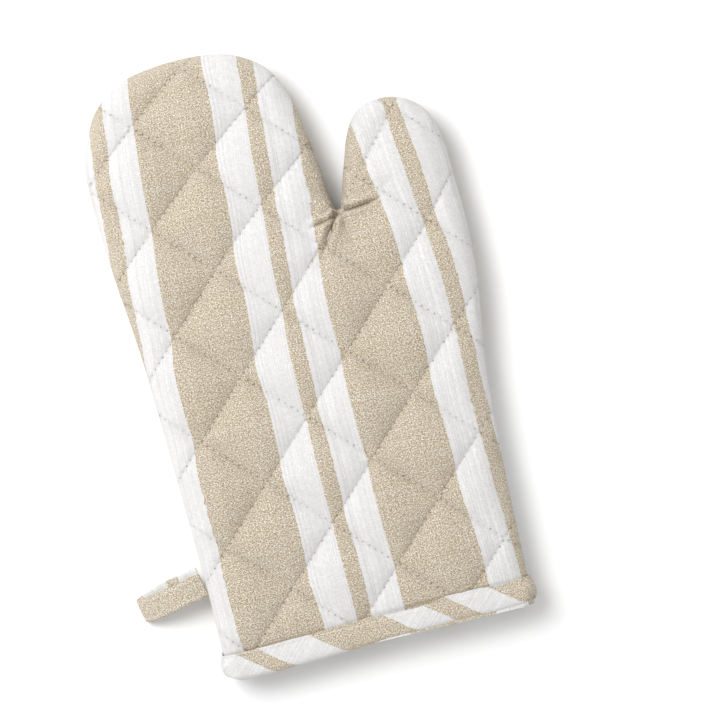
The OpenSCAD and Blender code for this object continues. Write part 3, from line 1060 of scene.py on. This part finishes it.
def capsules(name, runs, radius):
    """Short rounded thread stitches; runs holds lists of centre points."""
    sides = 6
    verts, faces = [], []
    for run in runs:
        run = np.array(run)
        t = unit(np.gradient(run, axis=0))
        steep = abs(t[len(t) // 2, 2]) > 0.9
        a = unit(np.cross(t, (0, 1, 0) if steep else (0, 0, 1)))
        b = np.cross(a, t)
        shape = np.sqrt(np.clip(1 - (np.linspace(-0.97, 0.97, len(run))) ** 6, 0.02, 1))
        faces += tube_faces(len(verts), len(run), sides)
        for k in range(len(run)):
            for j in range(sides):
                w = 2 * math.pi * j / sides
                verts.append(run[k] + radius * shape[k] * (math.cos(w) * a[k] + math.sin(w) * b[k]))
    obj = make_mesh(name, np.array(verts) * MM, faces)
    obj.data.shade_smooth()
    return obj


STITCH_SHARE = np.array([0.1, 0.2, 0.4, 0.6, 0.8, 0.9])
QUILT_SHARE = np.array([0.12, 0.2, 0.35, 0.5, 0.65, 0.8, 0.88])
TOPSTITCH_Y = -152.35


def dive(share):
    """How far a stitch sinks below its middle, at each share of its length."""
    return 0.45 * (2 * abs(share - 0.5)) ** 6


def quilting_runs(tree, side):
    """Stitches that lie on the outer cloth, split into hand and thumb."""
    hand, thumb = [], []
    for family in (1, -1):
        for line in stitch_points(family):
            ok = inside(line, EDGE) & (edge_distance(line) > 1.2) & (line[:, 1] > BINDING_TOP + 1.5)
            for a, b in clip_runs(ok):
                for k in range(a, b - 1):
                    p, q = line[k], line[k + 1]
                    points = p + QUILT_SHARE[:, None] * (q - p) + rng.normal(0, 0.05, 2)
                    run = []
                    for share, (x, y) in zip(QUILT_SHARE, points):
                        hit = tree.ray_cast(Vector((x, y, SEAM_Z + side * 40)), Vector((0, 0, -side)))[0]
                        if hit is None:
                            break
                        run.append(np.array(hit) + np.array([0, 0, side * (-0.02 - dive(share))]))
                    if len(run) == len(QUILT_SHARE):
                        (thumb if on_thumb((p + q)[None] / 2)[0] else hand).append(run)
    return hand, thumb


def cuff_height(x):
    """Height of the outer cloth above the seam, under the binding."""
    d = np.minimum(x - CUFF_LEFT, CUFF_RIGHT - x)
    z = rolled(np.maximum(d, 0), TOP_Z - SEAM_Z, ROLL_MID)
    return z - 1.7 * smoothstep(2.0, 11.0, d) - 1.1 * smoothstep(1, 9, d)


def mouth_path(step):
    """Closed loop round the mouth in X and Z, from the left seam over the front and back again."""
    left = 20 * (1 - np.cos(np.linspace(0, math.pi / 2, 60)))
    right = 20 * (1 - np.cos(np.linspace(math.pi / 2, 0, 60)))
    x = np.concatenate([CUFF_LEFT + left, np.linspace(-64, 64.6, 90), CUFF_RIGHT - right])
    h = cuff_height(x)
    p = np.vstack([np.column_stack([x, SEAM_Z + h]), np.column_stack([x[::-1], SEAM_Z - h[::-1]])])
    p = np.vstack([p, p[:1]])
    run = run_along(p)
    n = int(run[-1] / step)
    at = np.linspace(0, run[-1], n + 1)[:-1]
    q = np.column_stack([np.interp(at, run, p[:, k]) for k in (0, 1)])
    for _ in range(3):
        q = (np.roll(q, 1, axis=0) + 2 * q + np.roll(q, -1, axis=0)) / 4
    t = unit(np.roll(q, -1, axis=0) - np.roll(q, 1, axis=0))
    return q, np.column_stack([-t[:, 1], t[:, 0]]), at


# the binding's section: each point's Y and its height above the outer cloth
BINDING_OUTSIDE = [(-150.9, 0.10), (-150.35, 0.35), (-150.5, 0.95), (-151.2, 1.15), (-152.4, 0.85),
                   (-153.6, 1.15), (-155.5, 1.35), (-158, 1.40), (-160.5, 1.30), (-162.6, 1.00),
                   (-164.0, 0.35), (-165.0, -0.9)]
BINDING_LINING = [(-165.5, -2.2), (-165.4, -3.6), (-164.4, -5.0), (-162.5, -5.7), (-159, -5.9),
                  (-155, -5.9), (-152.6, -5.7), (-151.4, -5.8)]
BINDING_UNDER = [(-151.2, -5.2), (-152.6, -5.05), (-158, -5.1), (-163.3, -4.5), (-164.3, -2.6),
                 (-163.6, -0.5), (-161.5, 0.35), (-156, 0.45), (-152.6, 0.20)]


def binding_piece(name):
    """The bias tape folded over the raw edge of the mouth, a closed thin strip."""
    path, normal, at = mouth_path(0.9)
    y, o = np.array(BINDING_OUTSIDE + BINDING_LINING + BINDING_UNDER).T
    outer_n = len(BINDING_OUTSIDE)
    girth = run_along(np.column_stack([y, o]))
    n, m = len(path), len(y)
    front = (path[:, 1] > SEAM_Z)
    line = np.column_stack([at, np.zeros(n)])
    wave_y = 0.35 * value_noise(line, 34, 51) + 0.20 * value_noise(line, 11, 52)
    rise = binding_rise(path[:, 0]) * front
    corner = smoothstep(12, 0, np.minimum(path[:, 0] - CUFF_LEFT, CUFF_RIGHT - path[:, 0]))
    co = np.zeros((n, m, 3))
    for j in range(m):
        row = np.column_stack([at, np.full(n, y[j] * 1.3)])
        bulge = 0.26 * value_noise(row, 9, 61) + 0.14 * value_noise(row, 3.2, 62)
        stitched = math.exp(-((y[j] + 152.4) / 1.6) ** 2)
        bulge = bulge + stitched * 0.16 * np.cos(2 * math.pi * at / TOP_PITCH)
        if j >= outer_n:
            bulge = bulge * 0.4
        swell = 1.3 * corner * smoothstep(-150.5, -156, y[j]) * (1 if o[j] > -1.5 else 0.4)
        off = o[j] + bulge + swell
        co[:, j, 0] = path[:, 0] + normal[:, 0] * off
        co[:, j, 2] = path[:, 1] + normal[:, 1] * off
        droop = smoothstep(-151, -165, y[j])
        round_corner = 1.8 * corner ** 2
        co[:, j, 1] = y[j] + wave_y * (0.5 + 0.5 * droop) + rise + droop * round_corner * 1.6
    faces = []
    for i in range(n):
        here, after = i * m, (i + 1) % n * m
        for j in range(m):
            j2 = (j + 1) % m
            faces.append((here + j, here + j2, after + j2, after + j))
    obj = make_mesh(name, co.reshape(-1, 3) * MM, faces)
    # stripes run at 45 degrees; measured from the flat width of the tape, not the bent surface
    uv_cloth = np.zeros((len(faces) * 4, 2))
    uv_plan = np.zeros((len(faces) * 4, 2))
    run_x = at - at[np.argmin(np.abs(path[:, 0]) + 1000 * (~front))]
    k = 0
    for i in range(n):
        for j in range(m):
            for di, dj in ((0, 0), (0, 1), (1, 1), (1, 0)):
                a = run_x[i] + di * (at[1] - at[0])
                jj = j + dj
                g = girth[jj] if jj < m else girth[-1] + 1.2
                uv_cloth[k] = ((a + g) / ROOT2, (a - g) / ROOT2)
                uv_plan[k] = (a - (g - 8.0) * 1.25, g)
                k += 1
    for key, data in (("cloth", uv_cloth), ("plan", uv_plan)):
        layer = obj.data.uv_layers.new(name=key)
        layer.data.foreach_set("uv", (data / 100).astype(np.float32).ravel())
    obj.data.flip_normals()
    face_outwards(obj)
    subdivide(obj, 1)
    obj.data.shade_smooth()
    return obj, (path, normal, at)


def topstitch_piece(name, ring, tree):
    """The line of stitches round the binding, laid on its surface."""
    path, normal, at = ring
    runs = []
    for k in range(int(at[-1] / TOP_PITCH)):
        s = (k + STITCH_SHARE) * TOP_PITCH
        x, z = (np.interp(s, at, path[:, q]) for q in (0, 1))
        nx, nz = (np.interp(s, at, normal[:, q]) for q in (0, 1))
        run = []
        y = TOPSTITCH_Y + rng.normal(0, 0.06)
        for i, share in enumerate(STITCH_SHARE):
            out = np.array([nx[i], 0, nz[i]])
            hit = tree.ray_cast(Vector((x[i] + nx[i] * 6, y, z[i] + nz[i] * 6)), Vector(-out))[0]
            if hit is None:
                break
            run.append(np.array(hit) + (0.13 - dive(share)) * out)
        if len(run) == len(STITCH_SHARE):
            runs.append(run)
    return capsules(name, runs, HEAVY_THREAD)


LOOP_TILT = math.radians(12)
LOOP_ROOT = np.array([-88.197, -110.2, 15.0])
LOOP_U = np.array([-math.cos(LOOP_TILT), -math.sin(LOOP_TILT), 0])
LOOP_W = np.array([math.sin(LOOP_TILT), -math.cos(LOOP_TILT), 0])


def loop_line():
    """Centre line of the loop's tape in its own plane: along the reach, and up."""
    out = [(-1.5, 0.6), (0.5, 0.8), (4, 1.6), (9, 2.2), (18, 0.9), (26, -2.2), (31, -6.0), (34.6, -9.2)]
    fold = [(36.0, -11.4), (35.0, -13.0), (32.2, -13.3)]
    back = [(28, -12.4), (22, -10.2), (15, -7.0), (7, -3.2), (0.5, -0.9), (-1.5, -0.7)]
    return curve(out + fold + back, 0.55)


def loop_surface(line, side_offset):
    """Centre points of the tape, shifted sideways, and the directions out of its face."""
    n = to_the_left(line)
    up = np.array([0, 0, 1])
    centre = LOOP_ROOT + line[:, :1] * LOOP_U + line[:, 1:] * up + side_offset[:, None] * LOOP_W
    return centre, n[:, :1] * LOOP_U + n[:, 1:] * up


def loop_pieces():
    """The hang loop's folded tape, and the stitches near both its edges on both faces."""
    line = loop_line()
    run = run_along(line)
    centre, normal = loop_surface(line, 2.4 - 3.2 * smoothstep(0.40, 0.75, run / run[-1]))
    half = 6.7 + 0.18 * value_noise(np.column_stack([run, 0 * run]), 5, 81)
    upper = [(w, 0.55 * (1 - abs(w) ** 9 * 0.75)) for w in np.linspace(-1, 1, 13)]
    ring = upper + [(w, -h) for w, h in reversed(upper)]
    n, m = len(line), len(ring)
    co = np.zeros((n, m, 3))
    for j, (w, h) in enumerate(ring):
        bump = 0.10 * value_noise(np.column_stack([run, np.full(n, w * 6)]), 2.4, 83)
        groove = -0.14 * math.exp(-((abs(w) - 0.68) / 0.10) ** 2)
        wave = 0.10 * math.exp(-((abs(w) - 0.68) / 0.25) ** 2) * np.cos(2 * math.pi * run / LOOP_PITCH)
        thick = h + np.sign(h) * (groove + wave + bump)
        co[:, j] = centre + (w * half)[:, None] * LOOP_W + thick[:, None] * normal
    tape = make_mesh("loop_tape", co.reshape(-1, 3) * MM, tube_faces(0, n, m))
    uv = np.zeros((n, m, 2))
    for j, (w, h) in enumerate(ring):
        uv[:, j, 0] = run
        uv[:, j, 1] = w * 6.2 + (20 if h < 0 else 0)
    add_uv(tape.data, "cloth", uv.reshape(-1, 2))
    add_uv(tape.data, "plan", uv.reshape(-1, 2))
    face_outwards(tape)
    runs = []
    for w in (-0.68, 0.68):
        for face in (1, -1):
            k = 0
            while (k + 1) * LOOP_PITCH < run[-1] - 1:
                s = (k + STITCH_SHARE) * LOOP_PITCH + 0.8
                k += 1
                if s[0] < 3 or s[-1] > run[-1] - 3:
                    continue
                lift = 0.55 - 0.30 * (2 * np.abs(np.linspace(-0.5, 0.5, 6))) ** 6
                pts = []
                for i, at in enumerate(s):
                    c = np.array([np.interp(at, run, centre[:, q]) for q in range(3)])
                    nn = np.array([np.interp(at, run, normal[:, q]) for q in range(3)])
                    h = np.interp(at, run, half)
                    pts.append(c + w * h * LOOP_W + face * lift[i] * nn)
                runs.append(pts)
    return tape, capsules("loop_stitching", runs, HEAVY_THREAD)


def seam_piece(name, want):
    """The trimmed and overlocked seam allowances inside one body's edge."""
    inward = edge_inward(EDGE)
    along = run_along(EDGE)
    keep = (on_thumb(EDGE) == want) & (EDGE[:, 1] > -150)
    verts, faces, uvs = [], [], []
    # the section: distance in from the edge, and height above the seam
    profile = [(5.95, 0.9), (7.4, 1.0), (8.8, 0.95), (9.6, 1.25), (10.4, 1.05), (10.75, 0.35)]
    profile += [(d, -z) for d, z in reversed(profile)]
    m = len(profile)
    for a, b in clip_runs(keep):
        at = np.arange(along[a], along[b - 1], 0.75)
        p = np.column_stack([np.interp(at, along, EDGE[:, k]) for k in (0, 1)])
        q = np.column_stack([np.interp(at, along, inward[:, k]) for k in (0, 1)])
        q = unit(q)
        faces += tube_faces(len(verts), len(at), m)
        wave = 0.28 * value_noise(np.column_stack([at, at * 0]), 8, 91)
        thread = 0.17 * np.cos(2 * math.pi * at / 1.5)
        for i in range(len(at)):
            for d, z in profile:
                free = smoothstep(8.6, 9.6, d)
                x, y = p[i] + q[i] * (d + (0.3 * thread[i] + 0.5 * wave[i]) * free)
                verts.append((x, y, SEAM_Z + z + np.sign(z) * thread[i] * free + wave[i]))
                uvs.append((at[i], d + (20 if z < 0 else 0)))
    obj = make_mesh(name, np.array(verts) * MM, faces)
    add_uv(obj.data, "cloth", np.array(uvs))
    face_outwards(obj)
    return obj


# ---- build
CLOTH = striped_cloth("striped_chambray")
THREAD = thread_material("cotton_thread", (0.86, 0.83, 0.77), (0.70, 0.65, 0.56))
LINING = plain_cloth("cotton_lining", (0.93, 0.92, 0.88), (0.80, 0.78, 0.72))
BATTING = padding_material("cotton_batting")
OVERLOCK = plain_cloth("overlocked_edge", (0.92, 0.90, 0.84), (0.74, 0.70, 0.62), 0.6)
BIAS = bias_cloth("binding_cloth", [
    (-300, 0), (-236, 1), (-223, 0), (-198, 1), (-159, 0), (-136, 1), (-122.6, 0),
    (-71.2, 1), (-57.8, 0), (-30, 1), (9.1, 0), (31.6, 1), (44.9, 0), (68.5, 1), (107, 0),
    (131, 1), (144, 0), (169, 1), (208, 0), (231, 1), (244, 0)])
LOOP = bias_cloth("loop_cloth", [(-10, 1), (47, 0), (63.0, 1), (71.0, 0)])


def place(obj, material, replaces, moves):
    """Gives a piece its looks, hides the CAD nodes it stands for, and sets the joint it bends across or the
    body it rides.
    """
    obj.data.materials.append(material)
    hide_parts(*replaces)
    if moves == "fingers":
        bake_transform(obj, "palm", "fingers", (0, 0.068, 0), (0, 0.118, 0))
    elif moves == "thumb":
        a = np.append(CROTCH * MM, 0)
        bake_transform(obj, "palm", "thumb", tuple(a), tuple(a + np.append(split_normal, 0) * 0.042))
    elif moves == "loop":
        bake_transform(obj, "palm", "hang_loop", (-0.0855, -0.1097, 0), (-0.0925, -0.1111, 0))
    else:
        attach(obj, moves)


def surface_tree(points, mesh):
    return BVHTree.FromPolygons(points, [tuple(f.vertices) for f in mesh.polygons])


# each half of a panel: its name, the bodies whose nodes it stands for, and the joint it bends across
HALVES = (("hand", ("palm", "fingers"), "fingers"), ("thumb", ("thumb",), "thumb"))


def panel(side, word):
    """All the layers of the front or the back, each as one piece for the hand and one for the thumb."""
    whole = panel_shell(f"{word}_shell_whole", side)
    fine_detail(whole, side)
    runs = quilting_runs(surface_tree([Vector(c) for c in coordinates(whole.data)], whole.data), side)
    shells = split_panel(whole, side, [f"{word}_shell_{half[0]}" for half in HALVES])
    for shell, (key, bodies, joint) in zip(shells, HALVES):
        place(shell, CLOTH, [f"{b}_{word}_shell" for b in bodies], joint)
    for stitches, (key, bodies, joint) in zip(runs, HALVES):
        thread = capsules(f"{word}_quilting_{key}", stitches, FINE_THREAD)
        place(thread, THREAD, [f"{b}_{word}_quilting" for b in bodies], joint)
    pads, linings = [], []
    for want_thumb, (key, bodies, joint) in enumerate(HALVES):
        pad = batting_piece(f"{word}_batting_{key}", side, want_thumb)
        place(pad, BATTING, [f"{b}_{word}_batting" for b in bodies], joint)
        lining = lining_piece(f"{word}_lining_{key}", side, want_thumb)
        place(lining, LINING, [f"{b}_{word}_lining" for b in bodies], joint)
        pads.append(pad)
        linings.append(lining)


panel(1, "front")
panel(-1, "back")

for want_thumb, (key, bodies, joint) in enumerate(HALVES):
    seam = seam_piece(f"seam_allowance_{key}", want_thumb)
    place(seam, OVERLOCK, [f"{b}_perimeter_seam" for b in bodies], joint)

binding, ring = binding_piece("cuff_binding_tape")
tree = surface_tree([v.co / MM for v in binding.data.vertices], binding.data)
topstitch = topstitch_piece("cuff_topstitch", ring, tree)
place(binding, BIAS, ["cuff_binding"], "palm")
place(topstitch, THREAD, ["binding_topstitch"], "palm")

tape, loop_stitches = loop_pieces()
place(tape, LOOP, ["hang_loop_tape"], "loop")
place(loop_stitches, THREAD, ["hang_loop_stitching"], "loop")

# ---- stage, light and camera
scene = bpy.context.scene
scene.view_settings.view_transform = "Standard"
floor_mesh = bpy.data.meshes.new("floor")
floor_mesh.from_pydata([(-3, -3, 0), (3, -3, 0), (3, 3, 0), (-3, 3, 0)], [], [(0, 1, 2, 3)])
floor = bpy.data.objects.new("floor", floor_mesh)
scene.collection.objects.link(floor)
floor.location.z = -0.0002
fm = Nodes("floor_paint")
fm.bsdf.inputs["Base Color"].default_value = (0.93, 0.93, 0.93, 1)
fm.bsdf.inputs["Roughness"].default_value = 0.9
floor.data.materials.append(fm.material)

world = bpy.data.worlds.new("World")
scene.world = world
world.use_nodes = True
world.node_tree.nodes["Background"].inputs[0].default_value = (1.0, 1.0, 1.0, 1)
world.node_tree.nodes["Background"].inputs[1].default_value = 0.66

KEY_DISTANCE = 1.6
LEAN = math.radians(13.5)    # how far the mitt leans to the left in the picture
up_left = Vector((-1, 1, 0)).normalized()
towards_key = (up_left * 0.62 + Vector((0, 0, 1.0))).normalized()
key_data = bpy.data.lights.new("key", "AREA")
key_data.energy = 20
key_data.size = 0.8
key = bpy.data.objects.new("key", key_data)
key.location = towards_key * KEY_DISTANCE
key.rotation_euler = towards_key.to_track_quat("Z", "Y").to_euler()
scene.collection.objects.link(key)

cam_data = bpy.data.cameras.new("camera")
cam_data.lens = 135
camera = bpy.data.objects.new("camera", cam_data)
scene.collection.objects.link(camera)
scene.camera = camera
VIEW_WIDTH = 0.3852          # width of the picture at the height of the table
height = VIEW_WIDTH * cam_data.lens / cam_data.sensor_width
camera.location = (0.0241, -0.0142, height + 0.027)
camera.rotation_euler = (0, 0, -LEAN)
